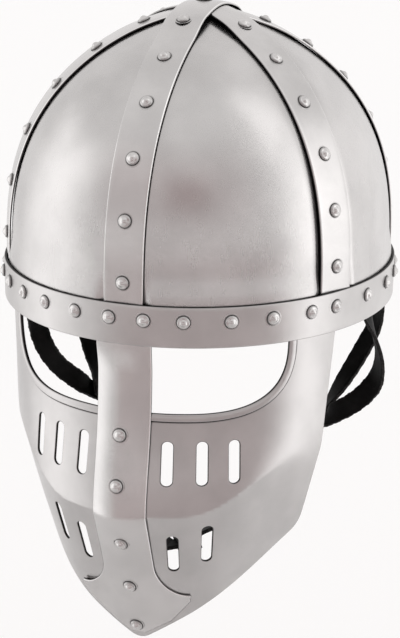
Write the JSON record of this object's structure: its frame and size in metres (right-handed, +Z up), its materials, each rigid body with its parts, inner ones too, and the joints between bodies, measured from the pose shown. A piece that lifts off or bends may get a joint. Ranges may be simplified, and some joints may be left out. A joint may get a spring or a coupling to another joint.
{
  "type": "spangenhelm helmet",
  "caption": "Riveted steel spangenhelm helmet with a segmented domed crown, a brow band, a pierced face guard with a nose strip, and a leather chin strap.",
  "frame": {"origin": "the middle of the opening that the head goes into, in the plane of the brow band's lower edge, named by the mount head_seat", "axes": "+Z is up, -Y is the front of the helmet, +X is the wearer's left"},
  "size_m": [0.228, 0.2531, 0.3503],
  "materials": {
    "steel": "satin, brushed steel",
    "leather": "black strap leather"
  },
  "bodies": {
    "root": {"crown_plate_1": "steel", "crown_plate_2": "steel", "crown_plate_3": "steel", "crown_plate_4": "steel", "crown_plate_5": "steel", "crown_plate_6": "steel", "strip_front_to_back": "steel", "strip_left_front_to_right_rear": "steel", "strip_right_front_to_left_rear": "steel", "brow_band": "steel", "face_guard": "steel", "nose_strip": "steel", "strap_left_front": "leather", "strap_left_rear": "leather", "strap_right_front": "leather", "strap_right_rear": "leather", "chin_strap": "leather", "chin_clasp": "steel"}
  },
  "joints": []
}
